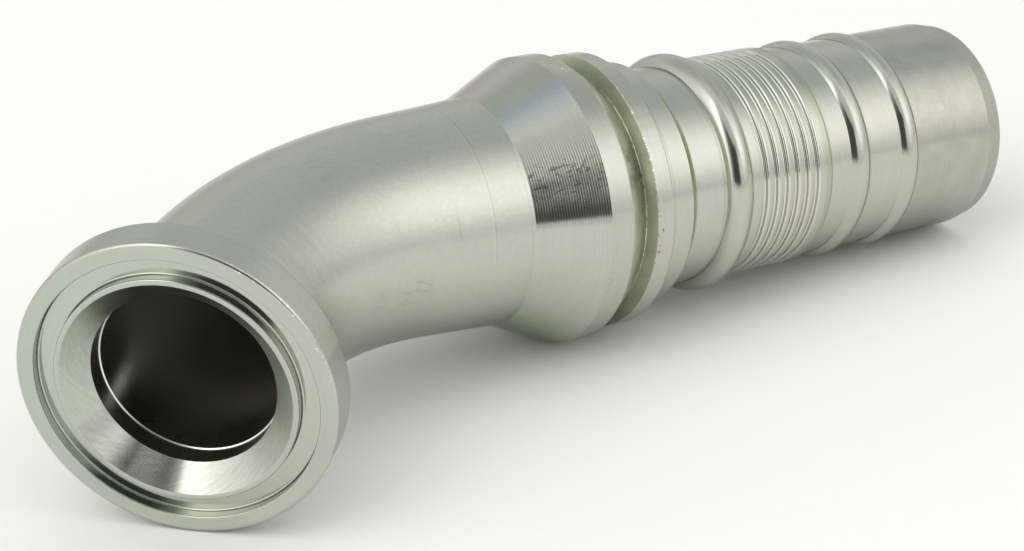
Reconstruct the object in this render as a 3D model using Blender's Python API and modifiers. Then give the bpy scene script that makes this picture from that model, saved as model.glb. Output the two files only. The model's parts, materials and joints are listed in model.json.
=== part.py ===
"""Forty-five degree flange insert for a hydraulic hose.

The real part is one piece of steel: it is turned straight, with the flange head at one end and the
ribbed hose stem at the other, and its plain tube is then bent. This file does the same. One closed
outline is turned about its axis, the turned body is bent in the plain tube, and the bent body is
laid down as it comes to rest on a level surface.

Units are metres and Z is up. The stem lies along +X as seen from above, the flange faces -X and -Y,
and the origin is at the middle of the footprint, on the surface that the part lies on.
"""

import math

import bmesh
import bpy
import numpy as np
from mathutils import Matrix, Vector

# Flange head, for a split clamp and an O-ring
HEAD_D = 0.06033
HEAD_T = 0.0080
HEAD_FRONT_EDGE = 0.0007
HEAD_BACK_EDGE = 0.0004
SEAL_GROOVE_D = 0.0537
SEAL_GROOVE_W = 0.00385
SEAL_GROOVE_DEPTH = 0.0022
SEAL_GROOVE_FILLET = 0.0004
SEAL_GROOVE_EDGE = 0.0002
LIP_W = 0.00105

# Mouth and bore
COUNTERSINK_ANGLE = math.radians(45.0)
MOUTH_D = 0.0352
MOUTH_L = 0.0040
BORE_D = 0.0347
LEDGE_RUN = 0.0002
BORE_END_CHAMFER = 0.0005

# Plain tube and its bend
NECK_D = 0.0424
NECK_FILLET = 0.0030
TUBE_D = 0.04715
HEAD_TO_BEND = 0.0208
BEND_RADIUS = 0.0740
BEND_ANGLE = math.radians(45.0)
BEND_TO_CONE = 0.0175

# Cone, collar and the notch that locks the ferrule
CONE_L = 0.01395
COLLAR_D = 0.0601
COLLAR_L = 0.0051
COLLAR_BACK_L = 0.0063
NOTCH_D = 0.0508
NOTCH_WALL_RUN = 0.0005
SHOULDER_D = 0.0578
SHOULDER_L = 0.0042
SHOULDER_EDGE = 0.0004
RING_D = 0.0517
RING_L = 0.0070
RELIEF_D = 0.0446
RELIEF_W = 0.0024

# Hose stem: a plain band, a bead, a grooved land, and two beads between plain bands
BAND_D = 0.0468
BAND_L = 0.0081
BEAD_D = 0.0514
BEAD_L = 0.0062
LAND_D = 0.04776
LAND_LEAD = 0.0024
LAND_TAIL = 0.0039
LAND_EDGE = 0.0011
FINE_GROOVES = 6
FINE_PITCH = 0.00273
FINE_W = 0.00172
FINE_DEPTH = 0.00087
FINE_WALL_RUN = 0.00018
TAIL_D = 0.0461
TAIL_BAND_1_L = 0.0057
TAIL_BEAD_1_D = 0.04826
TAIL_BEAD_1_L = 0.0051
TAIL_BAND_2_L = 0.0089
TAIL_BEAD_2_D = 0.04816
TAIL_BEAD_2_L = 0.0047
END_L = 0.0207
LEAD_IN_L = 0.0041
LEAD_IN_D = 0.0443
END_EDGE = 0.0003

# Fineness of the turned surface
SEGMENTS = 48
BEND_RINGS = 10
BEAD_RINGS = 6
CORNER_RINGS = 2
FILLET_RINGS = 3
MERGE = 0.00001

# Where the pieces of the developed length begin, measured from the sealing face
BEND_START = HEAD_TO_BEND
BEND_END = BEND_START + BEND_RADIUS * BEND_ANGLE
CONE_START = BEND_END + BEND_TO_CONE
COUNTERSINK_D = SEAL_GROOVE_D - 2.0 * SEAL_GROOVE_W - 2.0 * LIP_W
COUNTERSINK_DEPTH = (COUNTERSINK_D - MOUTH_D) / 2.0 / math.tan(COUNTERSINK_ANGLE)


def corner(u, r, du, dr, rings, hollow=False):
    """A rounded corner from (u, r) to (u + du, r + dr), as a quarter of an ellipse.

    A plain corner leaves (u, r) along the radius where hollow is set, and along the axis where not.
    """
    points = []
    for i in range(rings + 1):
        a = i / rings * math.pi / 2.0
        if hollow:
            points.append((u + du * (1.0 - math.cos(a)), r + dr * math.sin(a)))
        else:
            points.append((u + du * math.sin(a), r + dr * (1.0 - math.cos(a))))
    return points


def bead(u, length, r_before, r_after, r_crest, rings):
    """A rounded bead of circular section between two diameters, without its first point."""
    half = length / 2.0
    rise = r_crest - (r_before + r_after) / 2.0
    radius = (half * half + rise * rise) / (2.0 * rise)
    points = []
    for i in range(1, rings + 1):
        t = i / rings
        x = half * (2.0 * t - 1.0)
        lift = math.sqrt(max(radius * radius - x * x, 0.0)) - (radius - rise)
        points.append((u + length * t, r_before + (r_after - r_before) * t + lift))
    return points


def tube_radius(u):
    """Outer radius of the plain tube, which swells from the neck behind the head to the cone."""
    w = (u - HEAD_T) / (CONE_START - HEAD_T)
    return (NECK_D + (TUBE_D - NECK_D) * w * w) / 2.0


def bend_stations():
    """Places along the developed length that the bend needs rings at."""
    step = (BEND_END - BEND_START) / BEND_RINGS
    return [BEND_START + step * i for i in range(BEND_RINGS + 1)]


def head_outline():
    """The face with its lip and seal groove, the rim and the back of the head."""
    lip_r = SEAL_GROOVE_D / 2.0 - SEAL_GROOVE_W
    groove_r = SEAL_GROOVE_D / 2.0
    rim_r = HEAD_D / 2.0
    floor = SEAL_GROOVE_DEPTH
    f = SEAL_GROOVE_FILLET
    e = SEAL_GROOVE_EDGE
    points = [(0.0, COUNTERSINK_D / 2.0), (0.0, lip_r - e), (e, lip_r)]
    points += corner(floor - f, lip_r, f, f, CORNER_RINGS)
    points += corner(floor, groove_r - f, -f, f, CORNER_RINGS, hollow=True)
    points += [(e, groove_r), (0.0, groove_r + e)]
    points += corner(0.0, rim_r - HEAD_FRONT_EDGE, HEAD_FRONT_EDGE, HEAD_FRONT_EDGE, CORNER_RINGS, hollow=True)
    points += corner(HEAD_T - HEAD_BACK_EDGE, rim_r, HEAD_BACK_EDGE, -HEAD_BACK_EDGE, CORNER_RINGS)
    neck_r = tube_radius(HEAD_T + NECK_FILLET)
    points += corner(HEAD_T, neck_r + NECK_FILLET, NECK_FILLET, -NECK_FILLET, FILLET_RINGS, hollow=True)
    return points


def tube_outline():
    """The plain tube, with a ring at each station of the bend."""
    ends = [(HEAD_T + NECK_FILLET + BEND_START) / 2.0]
    stations = ends + bend_stations() + [(BEND_END + CONE_START) / 2.0, CONE_START]
    return [(u, tube_radius(u)) for u in stations]


def lock_outline():
    """Cone, collar, notch, shoulder, ring and relief, and the place where they end."""
    collar_r, notch_r = COLLAR_D / 2.0, NOTCH_D / 2.0
    shoulder_r, ring_r, relief_r = SHOULDER_D / 2.0, RING_D / 2.0, RELIEF_D / 2.0
    u = CONE_START + CONE_L
    points = [(u, collar_r)]
    u += COLLAR_L
    # The back of the collar slopes down to the foot of the notch
    points += [(u, collar_r), (u + COLLAR_BACK_L, notch_r)]
    u += COLLAR_BACK_L + NOTCH_WALL_RUN
    points.append((u, shoulder_r))
    u += SHOULDER_L
    points += [(u - SHOULDER_EDGE, shoulder_r), (u, shoulder_r - SHOULDER_EDGE), (u, ring_r)]
    u += RING_L
    points += [(u, ring_r), (u, relief_r)]
    u += RELIEF_W
    points += [(u, relief_r), (u, BAND_D / 2.0)]
    return points, u


def stem_outline(u):
    """The ribbed hose stem that begins at u, and the place of its free end."""
    band_r, land_r, tail_r = BAND_D / 2.0, LAND_D / 2.0, TAIL_D / 2.0
    u += BAND_L
    points = [(u, band_r)]
    points += bead(u, BEAD_L, band_r, land_r, BEAD_D / 2.0, BEAD_RINGS)
    u += BEAD_L + LAND_LEAD
    for i in range(FINE_GROOVES):
        a = u + FINE_PITCH * i
        b = a + FINE_W
        floor_r = land_r - FINE_DEPTH
        points += [(a, land_r), (a + FINE_WALL_RUN, floor_r), (b - FINE_WALL_RUN, floor_r), (b, land_r)]
    u += FINE_PITCH * (FINE_GROOVES - 1) + FINE_W + LAND_TAIL
    points += corner(u - LAND_EDGE, land_r, LAND_EDGE, tail_r - land_r, CORNER_RINGS)
    u += TAIL_BAND_1_L
    points.append((u, tail_r))
    points += bead(u, TAIL_BEAD_1_L, tail_r, tail_r, TAIL_BEAD_1_D / 2.0, BEAD_RINGS)
    u += TAIL_BEAD_1_L + TAIL_BAND_2_L
    points.append((u, tail_r))
    points += bead(u, TAIL_BEAD_2_L, tail_r, tail_r, TAIL_BEAD_2_D / 2.0, BEAD_RINGS)
    u += TAIL_BEAD_2_L + END_L
    points.append((u, tail_r))
    u += LEAD_IN_L
    lead_r = LEAD_IN_D / 2.0
    points += [(u - END_EDGE, lead_r), (u, lead_r - END_EDGE)]
    return points, u


def bore_outline(end):
    """The inside, from the free end back to the mouth."""
    bore_r = BORE_D / 2.0
    ledge = COUNTERSINK_DEPTH + MOUTH_L
    points = [(end, bore_r + BORE_END_CHAMFER), (end - BORE_END_CHAMFER, bore_r)]
    points += [(u, bore_r) for u in reversed(bend_stations())]
    points += [(ledge + LEDGE_RUN, bore_r), (ledge, MOUTH_D / 2.0), (COUNTERSINK_DEPTH, MOUTH_D / 2.0)]
    return points


def turned_outline():
    """The whole closed outline as (place along the developed length, radius)."""
    lock, u = lock_outline()
    stem, end = stem_outline(u)
    return head_outline() + tube_outline() + lock + stem + bore_outline(end)


def turn(name, outline):
    """Turns a closed outline about Z, with the sealing face at the top."""
    mesh = bpy.data.meshes.new(name)
    verts = [(r, 0.0, -u) for u, r in outline]
    edges = [(i, (i + 1) % len(verts)) for i in range(len(verts))]
    mesh.from_pydata(verts, edges, [])
    blank = bpy.data.objects.new(name + "_outline", mesh)
    bpy.context.scene.collection.objects.link(blank)
    screw = blank.modifiers.new("turn", "SCREW")
    screw.axis = "Z"
    screw.angle = 2.0 * math.pi
    screw.steps = SEGMENTS
    screw.render_steps = SEGMENTS
    screw.use_merge_vertices = True
    screw.merge_threshold = MERGE
    graph = bpy.context.evaluated_depsgraph_get()
    turned = bpy.data.meshes.new_from_object(blank.evaluated_get(graph))
    turned.name = name
    bpy.data.objects.remove(blank)
    bpy.data.meshes.remove(mesh)
    return turned


def bend(point):
    """Moves a point of the straight body to its place on the bent one."""
    u = -point.z
    phi = min(max((u - BEND_START) / BEND_RADIUS, 0.0), BEND_ANGLE)
    along = Vector((math.sin(phi), 0.0, -math.cos(phi)))
    inward = Vector((math.cos(phi), 0.0, math.sin(phi)))
    arc = Vector((BEND_RADIUS * (1.0 - math.cos(phi)), 0.0, -BEND_RADIUS * math.sin(phi)))
    straight = min(u, BEND_START)
    past = max(u - BEND_END, 0.0)
    centre = Vector((0.0, 0.0, -straight)) + arc + along * past
    return centre + inward * point.x + Vector((0.0, point.y, 0.0))


def lying_flat():
    """Rotation that lays the plane of the bend level, with the stem along +X."""
    into = Vector((math.cos(BEND_ANGLE), math.sin(BEND_ANGLE), 0.0))
    inward = Vector((math.sin(BEND_ANGLE), -math.cos(BEND_ANGLE), 0.0))
    rows = Matrix((inward, Vector((0.0, 0.0, 1.0)), -into))
    return rows.transposed()


def mass_centre(mesh):
    """Centre of the volume inside a closed mesh."""
    mesh.calc_loop_triangles()
    co = np.array([v.co for v in mesh.vertices])
    tri = co[np.array([t.vertices for t in mesh.loop_triangles])]
    six_vol = np.einsum("ij,ij->i", tri[:, 0], np.cross(tri[:, 1], tri[:, 2]))
    return (tri.sum(axis=1) * six_vol[:, None]).sum(axis=0) / (4.0 * six_vol.sum())


def tip(co, pivot, axis):
    """Angle about an axis through pivot at which the first of the points comes down to the pivot's
    level, and that point. A positive angle lowers what lies on the axis's left."""
    left = np.cross([0.0, 0.0, 1.0], axis)
    rel = co - pivot
    side, height = rel @ left, rel[:, 2]
    angle = np.where(side > 1e-7, np.arctan2(height, side), np.inf)
    first = int(np.argmin(angle))
    return float(angle[first]), first


def turn_about(co, pivot, axis, angle):
    """Points turned about an axis through pivot."""
    m = np.array(Matrix.Rotation(angle, 3, Vector(axis)))
    return (co - pivot) @ m.T + pivot


def at_rest(co, centre):
    """Lets a body that starts about level tip over its lowest points until three of them carry it.

    Returns the moved points, with the surface at z = 0.
    """
    pts = np.vstack([co, centre])
    low = int(np.argmin(pts[:-1, 2]))
    contacts = [low]
    for _ in range(60):
        pivot = pts[contacts[0]]
        if len(contacts) == 1:
            out = (pts[-1] - pivot) * [1.0, 1.0, 0.0]
            left = out / np.linalg.norm(out)
            axis = np.cross(left, [0.0, 0.0, 1.0])
        else:
            span = (pts[contacts[1]] - pivot) * [1.0, 1.0, 0.0]
            axis = span / np.linalg.norm(span)
            if np.cross([0.0, 0.0, 1.0], axis) @ (pts[-1] - pivot) < 0.0:
                axis = -axis
        angle, first = tip(pts[:-1], pivot, axis)
        pts = turn_about(pts, pivot, axis, -angle)
        if len(contacts) == 1:
            contacts.append(first)
            continue
        three = contacts + [first]
        keep = carried(pts[three], pts[-1])
        if keep is None:
            break
        contacts = [three[k] for k in keep]
    pts[:, 2] -= pts[:-1, 2].min()
    return pts[:-1]


def carried(corners, centre):
    """None where the centre is over the triangle of the corners, else the edge that it is beyond."""
    middle = corners.mean(axis=0)
    for k in range(3):
        a, b = corners[k], corners[(k + 1) % 3]
        edge = (b - a)[:2]
        normal = np.array([-edge[1], edge[0]])
        if (normal @ (middle - a)[:2]) * (normal @ (centre - a)[:2]) < 0.0:
            return [k, (k + 1) % 3]
    return None


def steel():
    """Bright zinc plate on steel."""
    mat = bpy.data.materials.new("zinc_plated_steel")
    mat.use_nodes = True
    shader = next(n for n in mat.node_tree.nodes if n.type == "BSDF_PRINCIPLED")
    shader.inputs["Base Color"].default_value = (0.60, 0.61, 0.57, 1.0)
    shader.inputs["Metallic"].default_value = 1.0
    shader.inputs["Roughness"].default_value = 0.28
    return mat


def flange_insert():
    """The finished part as one object."""
    name = "flange_insert"
    mesh = turn(name, turned_outline())
    shape = bmesh.new()
    shape.from_mesh(mesh)
    laid = lying_flat()
    for v in shape.verts:
        v.co = laid @ bend(v.co)
    bmesh.ops.triangulate(shape, faces=shape.faces[:])
    shape.to_mesh(mesh)
    shape.free()

    co = np.array([v.co for v in mesh.vertices])
    rested = at_rest(co, mass_centre(mesh))
    middle = (rested.max(axis=0) + rested.min(axis=0)) / 2.0
    rested[:, :2] -= middle[:2]
    mesh.vertices.foreach_set("co", rested.astype(np.float32).ravel())
    mesh.update()

    mesh.shade_smooth()
    mesh.set_sharp_from_angle(angle=math.radians(30.0))
    mesh.materials.append(steel())
    return bpy.data.objects.new(name, mesh)


def main():
    for ob in list(bpy.data.objects):
        bpy.data.objects.remove(ob)
    parts = bpy.data.collections.new("forty_five_degree_flange")
    bpy.context.scene.collection.children.link(parts)
    parts.objects.link(flange_insert())


main()
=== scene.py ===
"""Looks of the forty-five degree flange insert: one fine turned and bent body with zinc plated steel
finishes, on a pale floor in soft studio light. Metres, in the same frame as the solid model."""

import json
import math

import bpy
import numpy as np
from mathutils import Matrix, Vector


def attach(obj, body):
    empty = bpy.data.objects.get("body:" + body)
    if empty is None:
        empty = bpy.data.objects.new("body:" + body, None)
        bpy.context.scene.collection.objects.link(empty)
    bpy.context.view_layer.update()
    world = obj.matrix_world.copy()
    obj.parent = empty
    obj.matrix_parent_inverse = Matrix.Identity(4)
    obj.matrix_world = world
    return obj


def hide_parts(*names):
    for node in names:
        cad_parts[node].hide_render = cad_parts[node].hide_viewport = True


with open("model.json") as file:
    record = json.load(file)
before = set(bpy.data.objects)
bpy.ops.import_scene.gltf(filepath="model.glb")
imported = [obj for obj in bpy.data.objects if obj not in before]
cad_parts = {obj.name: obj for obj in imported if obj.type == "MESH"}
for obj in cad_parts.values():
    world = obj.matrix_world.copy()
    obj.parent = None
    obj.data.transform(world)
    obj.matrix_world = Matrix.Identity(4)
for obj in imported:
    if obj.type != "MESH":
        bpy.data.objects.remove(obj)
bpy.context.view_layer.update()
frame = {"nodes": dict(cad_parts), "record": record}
MM = 0.001
MICRON = 0.000001
DEGREES = 180.0 / math.pi

# Lengths in millimetres, the same as in the solid model
HEAD_R, HEAD_T, HEAD_EDGE = 30.165, 8.0, 0.7
GROOVE_R, GROOVE_W, GROOVE_DEPTH = 26.85, 3.85, 2.2
GROOVE_FILLET, GROOVE_EDGE = 0.4, 0.25
LIP_R, LIP_W = GROOVE_R - GROOVE_W, 1.05
MOUTH_R, MOUTH_L, BORE_R, LEDGE_RUN = 17.6, 4.0, 17.35, 0.2
SINK_R = LIP_R - LIP_W
SINK = SINK_R - MOUTH_R
NECK_R, NECK_FILLET, TUBE_R = 21.2, 3.0, 23.575
BEND_START, BEND_RADIUS, BEND_ANGLE = 20.8, 74.0, math.radians(45.0)
BEND_END = BEND_START + BEND_RADIUS * BEND_ANGLE
CONE = BEND_END + 17.5
COLLAR_R, COLLAR = 30.05, CONE + 13.95
SLOPE = COLLAR + 5.1
NOTCH_R, NOTCH = 25.4, SLOPE + 6.3
SHOULDER_R, SHOULDER = 28.9, NOTCH + 0.5
RING_R, RING = 25.85, SHOULDER + 4.2
RELIEF_R, RELIEF = 22.3, RING + 7.0
BAND_R, BAND = 23.4, RELIEF + 2.4
BEAD, BEAD_L, BEAD_CREST = BAND + 8.1, 6.2, 25.7
LAND_R, LAND = 23.88, BEAD + BEAD_L
FINE = LAND + 2.4
FINE_COUNT, FINE_PITCH, FINE_W, FINE_DEPTH, FINE_RUN = 6, 2.73, 1.72, 0.87, 0.2
LAND_END = FINE + (FINE_COUNT - 1) * FINE_PITCH + FINE_W + 3.9
TAIL_R = 23.05
BEAD_2, BEAD_2_L, BEAD_2_CREST = LAND_END + 5.7, 5.1, 24.13
BEAD_3, BEAD_3_L, BEAD_3_CREST = BEAD_2 + BEAD_2_L + 8.9, 4.7, 24.08
LEAD = BEAD_3 + BEAD_3_L + 20.7
LEAD_R, END = 22.15, LEAD + 4.1

# Radii in millimetres of the small rounds and fillets
SINK_EDGE, HEAD_BACK_EDGE, CONE_EDGE, COLLAR_EDGE = 0.1, 0.4, 0.35, 0.3
NOTCH_FILLET, SHOULDER_EDGE, SHOULDER_BACK_EDGE = 0.12, 0.12, 0.4
RING_EDGE, BAND_EDGE = 0.2, 0.15
FINE_FRONT_EDGE, FINE_FILLET, FINE_BACK_EDGE = 0.12, 0.35, 0.42
LAND_EDGE, TAIL_FILLET = 0.8, 0.1
LEAD_EDGE, END_EDGE, BORE_EDGE = 0.5, 0.3, 0.5

# Where one finish gives way to the next, in millimetres before an edge or a fillet
FACE_STOP, BRIGHT_START = 0.02, 0.31
WALL_STOP, WALL_STOP_DEPTH = 0.03, 0.25

# Fineness of the mesh
SEGMENTS = 288
NECK_STEPS, BEND_STEPS, TUBE_STEPS, BORE_STEPS = 6, 40, 7, 24
TUBE_END_GAP, LAND_END_RUN = 1.0, 0.3
BEAD_STEPS, SMALL_BEAD_STEPS = 18, 14
SAME_POINT = 0.0001
SHARP = math.radians(34.0)

# The burr by the notch and the nicks on the rim follow two random lines: their scales in millimetres,
# how far the burr reaches from its edge, where the burr's line is cut off and where the nicks' starts
BURR_SEED = 7
BURR, BURR_REACH, BURR_MOST = 0.03, 0.3, 0.6
NICK, NICK_START = 0.006, 0.8
BURR_WAVES, NICK_WAVES = range(18, 90, 3), range(9, 140, 3)

# Colours: the zinc, what makes it a little warmer, its tint seen edge on, and rubbed and scratched zinc
ZINC = (0.515, 0.529, 0.465)
WARMER = (1.015, 0.985, 0.985)
EDGE_TINT = (0.78, 0.79, 0.77)
RUBBED, SCRATCHED = (0.30, 0.31, 0.24), (0.95, 0.95, 0.90)

# Where the bore's turned mouth ends, in millimetres from the sealing face
TURNED_MOUTH = 11.0

# Light levels: the walls, the right source's near and far sides, the left source and the strip, and the
# shares of light that are left in the opening where the viewer stands and just over it
WALLS, RIGHT_NEAR, RIGHT_FAR, LEFT, STRIP = 0.80, 0.16, 0.80, 1.20, 0.38
IN_OPENING, OVER_OPENING = 0.10, 0.95

# How far a point of the solid model's sealing face may be from its plane, in metres
FACE_TOLERANCE = 0.00005

# The floor's half width and its distance below the part, in metres
FLOOR_HALF, FLOOR_DROP = 12.0, 0.0002


def tube_r(u):
    """Radius of the plain tube at a place along its developed length."""
    w = (u - HEAD_T) / (CONE - HEAD_T)
    return NECK_R + (TUBE_R - NECK_R) * w * w


class Profile:
    """A chain of (place, radius) points with rounded corners, and the finish of each stretch."""

    def __init__(self):
        self.points = []
        self.finish = []

    def add(self, u, r, finish):
        """A point, unless it is where the last one is."""
        if self.points:
            last_u, last_r = self.points[-1]
            if math.hypot(u - last_u, r - last_r) < SAME_POINT:
                return
        self.points.append((u, r))
        self.finish.append(finish)

    def chain(self, corners, finish, closing=None):
        """Corners as (u, r) or (u, r, radius, steps); the finish is that of the way to each point.

        closing is where the chain goes next, for a last corner that is rounded.
        """
        for i, c in enumerate(corners):
            if len(c) == 2:
                self.add(c[0], c[1], finish)
                continue
            u, r, radius, steps = c
            before = corners[i - 1][:2] if i else self.points[-1]
            after = corners[i + 1][:2] if i + 1 < len(corners) else closing
            a = np.array(before) - (u, r)
            b = np.array(after) - (u, r)
            a, b = a / np.linalg.norm(a), b / np.linalg.norm(b)
            half = math.acos(max(-1.0, min(1.0, float(a @ b)))) / 2.0
            reach = radius / math.tan(half)
            middle = (a + b) / np.linalg.norm(a + b) * radius / math.sin(half) + (u, r)
            p = np.array((u, r)) + a * reach - middle
            q = np.array((u, r)) + b * reach - middle
            start = math.atan2(p[1], p[0])
            sweep = (math.atan2(q[1], q[0]) - start + math.pi) % (2.0 * math.pi) - math.pi
            for k in range(steps + 1):
                g = start + sweep * k / steps
                self.add(middle[0] + radius * math.cos(g), middle[1] + radius * math.sin(g), finish)

    def run(self, u0, u1, steps, radius_at, finish):
        """Even steps along the axis, at the radius that a function gives."""
        for k in range(1, steps + 1):
            u = u0 + (u1 - u0) * k / steps
            self.add(u, radius_at(u), finish)

    def bead(self, u, length, r_before, r_after, crest, steps, finish):
        """A bead of circular section between two radii."""
        half = length / 2.0
        rise = crest - (r_before + r_after) / 2.0
        radius = (half * half + rise * rise) / (2.0 * rise)
        for k in range(steps + 1):
            t = k / steps
            x = half * (2.0 * t - 1.0)
            lift = math.sqrt(max(radius * radius - x * x, 0.0)) - (radius - rise)
            self.add(u + length * t, r_before + (r_after - r_before) * t + lift, finish)


def head_outline(p):
    """The countersink, the face with its lip and seal groove, the rim and the back of the head."""
    p.add(SINK, MOUTH_R, "sink")
    p.chain([(0.0, SINK_R, SINK_EDGE, 3)], "sink", closing=(0.0, LIP_R))
    p.chain([(0.0, LIP_R - GROOVE_EDGE)], "face")
    p.chain([
        (0.0, LIP_R, GROOVE_EDGE, 4),
        (GROOVE_DEPTH, LIP_R, GROOVE_FILLET, 5),
        (GROOVE_DEPTH, GROOVE_R, GROOVE_FILLET, 5),
        (0.0, GROOVE_R, GROOVE_EDGE, 4),
    ], "groove", closing=(0.0, HEAD_R))
    p.chain([(0.0, HEAD_R - HEAD_EDGE - FACE_STOP)], "face")
    rim = [(0.0, HEAD_R, HEAD_EDGE, 7), (HEAD_T, HEAD_R, HEAD_BACK_EDGE, 4)]
    p.chain(rim, "head", closing=(HEAD_T, NECK_R))
    foot = tube_r(HEAD_T + NECK_FILLET)
    p.chain([(HEAD_T, foot, NECK_FILLET, 6)], "head", closing=(HEAD_T + 2.0 * NECK_FILLET, foot))


def tube_outline(p):
    """The plain tube, with close rings where it bends."""
    p.run(HEAD_T + NECK_FILLET, BEND_START, NECK_STEPS, tube_r, "tube")
    p.run(BEND_START, BEND_END, BEND_STEPS, tube_r, "tube")
    p.run(BEND_END, CONE - TUBE_END_GAP, TUBE_STEPS, tube_r, "tube")
    p.chain([(CONE, TUBE_R, CONE_EDGE, 3)], "tube", closing=(COLLAR, COLLAR_R))


def lock_outline(p):
    """Cone, collar, notch, shoulder, ring and relief."""
    p.chain([(COLLAR, COLLAR_R, CONE_EDGE, 3)], "cone", closing=(SLOPE, COLLAR_R))
    p.chain([(SLOPE, COLLAR_R, COLLAR_EDGE, 3)], "collar", closing=(NOTCH, NOTCH_R))
    p.chain([(NOTCH, NOTCH_R, NOTCH_FILLET, 3)], "notch", closing=(SHOULDER, SHOULDER_R))
    p.chain([(SHOULDER - WALL_STOP, SHOULDER_R - WALL_STOP_DEPTH)], "wall")
    p.chain([
        (SHOULDER, SHOULDER_R, SHOULDER_EDGE, 3),
        (RING, SHOULDER_R, SHOULDER_BACK_EDGE, 4),
        (RING, RING_R),
    ], "shoulder")
    p.chain([(RELIEF, RING_R, RING_EDGE, 3)], "ring", closing=(RELIEF, RELIEF_R))
    p.chain([(RELIEF, RELIEF_R), (BAND, RELIEF_R)], "relief")


def stem_outline(p):
    """The ribbed stem: a bead, a land with fine grooves, two smaller beads and the free end."""
    p.chain([(BAND, BAND_R, BAND_EDGE, 3), (BEAD, BAND_R)], "stem")
    p.bead(BEAD, BEAD_L, BAND_R, LAND_R, BEAD_CREST, BEAD_STEPS, "stem")
    floor_r = LAND_R - FINE_DEPTH
    for i in range(FINE_COUNT):
        a = FINE + FINE_PITCH * i
        b = a + FINE_W
        front = [(a, LAND_R, FINE_FRONT_EDGE, 2), (a + FINE_RUN, floor_r, FINE_FILLET, 3)]
        p.chain(front, "stem", closing=(b, floor_r))
        p.add(b - FINE_RUN - BRIGHT_START, floor_r, "stem")
        back = [(b - FINE_RUN, floor_r, FINE_FILLET, 3), (b, LAND_R, FINE_BACK_EDGE, 5)]
        p.chain(back, "bright", closing=(a + FINE_PITCH, LAND_R))
    p.chain([
        (LAND_END - LAND_END_RUN, LAND_R, LAND_EDGE, 5),
        (LAND_END, TAIL_R, TAIL_FILLET, 2),
        (BEAD_2, TAIL_R),
    ], "stem")
    p.bead(BEAD_2, BEAD_2_L, TAIL_R, TAIL_R, BEAD_2_CREST, SMALL_BEAD_STEPS, "stem")
    p.add(BEAD_3, TAIL_R, "stem")
    p.bead(BEAD_3, BEAD_3_L, TAIL_R, TAIL_R, BEAD_3_CREST, SMALL_BEAD_STEPS, "stem")
    p.chain([(LEAD, TAIL_R, LEAD_EDGE, 3)], "end", closing=(END, LEAD_R))
    tip = [(END, LEAD_R, END_EDGE, 4), (END, BORE_R, BORE_EDGE, 3)]
    p.chain(tip, "tip", closing=(BEND_END, BORE_R))


def bore_outline(p):
    """The inside, from the free end back to the ledge in the mouth."""
    p.add(BEND_END, BORE_R, "bore")
    p.run(BEND_END, BEND_START, BORE_STEPS, lambda u: BORE_R, "bore")
    p.add(SINK + MOUTH_L + LEDGE_RUN, BORE_R, "bore")
    p.add(SINK + MOUTH_L, MOUTH_R, "ledge")


def outline():
    """The whole closed outline, from the mouth round the outside to the free end and back inside."""
    p = Profile()
    for part in (head_outline, tube_outline, lock_outline, stem_outline, bore_outline):
        part(p)
    # The way from the ledge back to the first point is the mouth's own wall
    p.finish[0] = "bore"
    return p


def angles():
    """The angle round the axis of each column of points."""
    return np.arange(SEGMENTS) * 2.0 * math.pi / SEGMENTS


def wander(rng, waves):
    """A smooth random line round the axis, mostly between -1 and 1, that closes on itself."""
    total = np.zeros(SEGMENTS)
    for k in waves:
        total += rng.normal() * np.cos(k * angles()) + rng.normal() * np.sin(k * angles())
    return total / math.sqrt(2.0 * len(waves))


def burrs(u, r):
    """How far each point stands off the true radius, from the notch's burr and the rim's nicks."""
    rng = np.random.default_rng(BURR_SEED)
    off = np.zeros((len(u), SEGMENTS))
    line = wander(rng, BURR_WAVES)
    at_notch = (np.abs(u - SHOULDER) < BURR_REACH) & (r > SHOULDER_R - BURR_REACH)
    off[at_notch] += BURR * np.minimum(line, BURR_MOST)
    nick = np.minimum(wander(rng, NICK_WAVES) + NICK_START, 0.0)
    at_rim = (u < HEAD_EDGE) & (r > HEAD_R - 0.5 * HEAD_EDGE) & (r <= HEAD_R)
    off[at_rim] += NICK * nick
    return off


def placement():
    """Turning frame to part frame: axes from the record's mounts, shift from the sealing face."""
    mounts = {m["name"]: np.array(m["axis"]) for m in frame["record"]["mounts"]}
    out, stem = mounts["port_face"], mounts["hose_stop"]
    out, stem = out / np.linalg.norm(out), stem / np.linalg.norm(stem)
    inward = stem + math.cos(BEND_ANGLE) * out
    inward /= np.linalg.norm(inward)
    turn = np.stack([inward, np.cross(out, inward), out], 1)
    mesh = frame["nodes"]["flange_insert"].data
    co = np.zeros(len(mesh.vertices) * 3)
    mesh.vertices.foreach_get("co", co)
    own = co.reshape(-1, 3) @ turn
    on_face = own[own[:, 2] > own[:, 2].max() - FACE_TOLERANCE]
    return turn, turn @ ((on_face.max(0) + on_face.min(0)) / 2.0)


def bent_points(u, r):
    """The bent body's points in millimetres: a row for each profile point, a column for each angle."""
    theta = angles()
    phi = np.clip((u - BEND_START) / BEND_RADIUS, 0.0, BEND_ANGLE)
    zero = np.zeros(len(u))
    along = np.stack([np.sin(phi), zero, -np.cos(phi)], 1)
    inward = np.stack([np.cos(phi), zero, np.sin(phi)], 1)
    arc = np.stack([BEND_RADIUS * (1.0 - np.cos(phi)), zero, -BEND_RADIUS * np.sin(phi)], 1)
    start = np.stack([zero, zero, -np.minimum(u, BEND_START)], 1)
    centre = start + arc + along * np.maximum(u - BEND_END, 0.0)[:, None]
    side = np.array([0.0, 1.0, 0.0])
    radial = inward[:, None, :] * np.cos(theta)[None, :, None] + side * np.sin(theta)[None, :, None]
    return centre[:, None, :] + radial * (r[:, None] + burrs(u, r))[:, :, None]


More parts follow.
